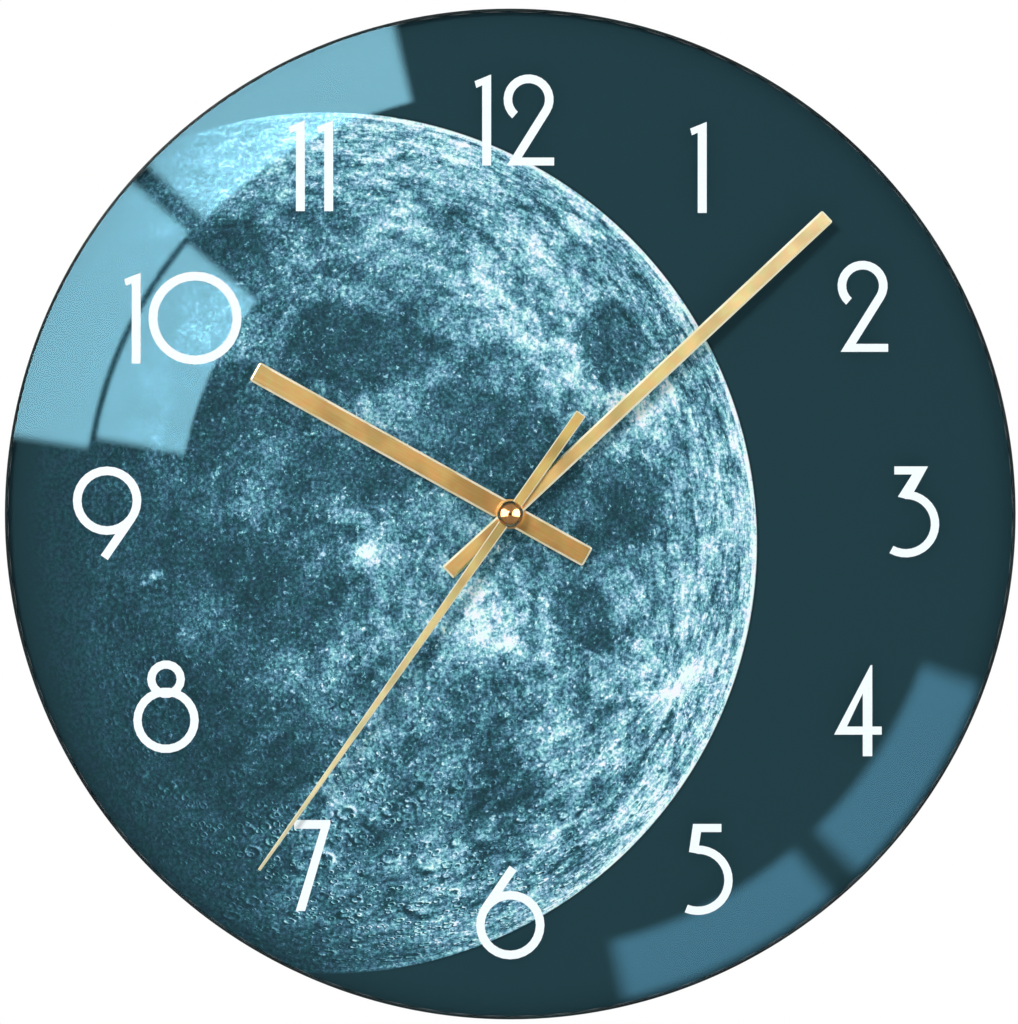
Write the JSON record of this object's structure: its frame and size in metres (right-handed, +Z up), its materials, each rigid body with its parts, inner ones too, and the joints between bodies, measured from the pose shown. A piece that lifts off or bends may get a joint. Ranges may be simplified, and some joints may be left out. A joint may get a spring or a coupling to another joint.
{
  "type": "wall clock",
  "caption": "Round frameless glass wall clock: printed disc with raised figures, three straight hands, and a quartz movement, hanger and foot pads behind it.",
  "frame": {"origin": "on the hands' axis, in the plane of the rear faces that rest on the wall", "axes": "the clock faces -Y, +Z is up towards the twelve, +X is towards the three; +Y points into the wall"},
  "size_m": [0.3, 0.0373, 0.3],
  "materials": {
    "dial_glass": "clear float glass with a polished edge, over the printed film",
    "printed_film": "dark blue-green print with a pale moon, bonded to the back of the glass",
    "white_ink": "opaque white screen ink",
    "foam": "white double-sided foam tape",
    "grey_plastic": "dark grey moulded plastic",
    "black_plastic": "black moulded plastic, fine grain",
    "nylon": "natural white moulded plastic",
    "pad_rubber": "pale grey soft rubber",
    "steel": "plain rolled steel, dull",
    "brass": "machined brass",
    "polished_brass": "polished, warm gold",
    "gold_metal": "satin gold with bright bevelled edges",
    "pale_gold_metal": "satin pale gold with bright bevelled edges",
    "gold_aluminium": "satin pale gold",
    "copper_wire": "enamelled copper wire",
    "board": "green lacquered circuit board",
    "magnet": "dark grey bonded magnet",
    "battery_cell": "plain dark sleeve on a metal can"
  },
  "bodies": {
    "dial_and_movement": {"dial_glass": "dial_glass", "dial_print": "printed_film", "numeral_12_tens": "white_ink", "numeral_12_units": "white_ink", "numeral_1": "white_ink", "numeral_2": "white_ink", "numeral_3": "white_ink", "numeral_4": "white_ink", "numeral_5": "white_ink", "numeral_6": "white_ink", "numeral_7": "white_ink", "numeral_8": "white_ink", "numeral_9": "white_ink", "numeral_10_tens": "white_ink", "numeral_10_units": "white_ink", "numeral_11_tens": "white_ink", "numeral_11_units": "white_ink", "adhesive_ring": "foam", "carrier_plate": "grey_plastic", "mounting_nut": "brass", "wall_hanger": "steel", "spacer_left": "pad_rubber", "spacer_right": "pad_rubber", "movement_case": "black_plastic", "front_cover": "black_plastic", "middle_plate": "nylon", "stator": "steel", "coil_core": "steel", "coil_bobbin": "nylon", "coil_winding": "copper_wire", "circuit_board": "board", "timing_chip": "black_plastic", "quartz_crystal": "steel", "contact_positive": "steel", "contact_negative": "steel"},
    "battery": {"battery": "battery_cell"},
    "rotor": {"rotor_magnet": "magnet", "rotor_pinion": "nylon"},
    "fifth": {"fifth_wheel": "nylon"},
    "second": {"second_wheel": "nylon", "second_arbor": "steel", "second_hand": "gold_aluminium", "centre_cap": "polished_brass"},
    "third": {"third_wheel": "nylon"},
    "minute": {"centre_wheel": "brass", "minute_tube": "nylon", "minute_hand": "pale_gold_metal"},
    "cross": {"cross_wheel": "nylon"},
    "hour": {"hour_wheel": "nylon", "hour_hand": "gold_metal"},
    "knob": {"setting_knob": "grey_plastic"}
  },
  "joints": [
    {"name": "second_turn", "type": "hinge", "parent": "dial_and_movement", "child": "second", "pos_m": [0, 0, 0], "axis": [0, 1, 0], "continuous": true},
    {"name": "minute_turn", "type": "hinge", "parent": "dial_and_movement", "child": "minute", "pos_m": [0, 0, 0], "axis": [0, 1, 0], "continuous": true},
    {"name": "hour_turn", "type": "hinge", "parent": "dial_and_movement", "child": "hour", "pos_m": [0, 0, 0], "axis": [0, 1, 0], "continuous": true},
    {"name": "third_turn", "type": "hinge", "parent": "dial_and_movement", "child": "third", "pos_m": [0.00891, 0, 0.00624], "axis": [0, 1, 0], "continuous": true},
    {"name": "fifth_turn", "type": "hinge", "parent": "dial_and_movement", "child": "fifth", "pos_m": [-0.00432, 0, 0.00748], "axis": [0, 1, 0], "continuous": true},
    {"name": "rotor_turn", "type": "hinge", "parent": "dial_and_movement", "child": "rotor", "pos_m": [-0.007, 0, 0.01485], "axis": [0, 1, 0], "continuous": true},
    {"name": "cross_turn", "type": "hinge", "parent": "dial_and_movement", "child": "cross", "pos_m": [-0.00927, 0, -0.00248], "axis": [0, 1, 0], "continuous": true},
    {"name": "knob_turn", "type": "hinge", "parent": "dial_and_movement", "child": "knob", "pos_m": [-0.01855, 0, 0], "axis": [0, 1, 0], "continuous": true},
    {"name": "battery_out", "type": "slide", "parent": "dial_and_movement", "child": "battery", "axis": [0, 1, 0], "range_m": [0, 0.024]}
  ],
  "couplings": [
    {"joint": "minute_turn", "follows": "second_turn", "ratio": 0.016667},
    {"joint": "hour_turn", "follows": "second_turn", "ratio": 0.0013889},
    {"joint": "third_turn", "follows": "second_turn", "ratio": -0.13333},
    {"joint": "fifth_turn", "follows": "second_turn", "ratio": -5},
    {"joint": "rotor_turn", "follows": "second_turn", "ratio": 30},
    {"joint": "cross_turn", "follows": "second_turn", "ratio": -0.0055556},
    {"joint": "knob_turn", "follows": "second_turn", "ratio": 0.016667}
  ]
}
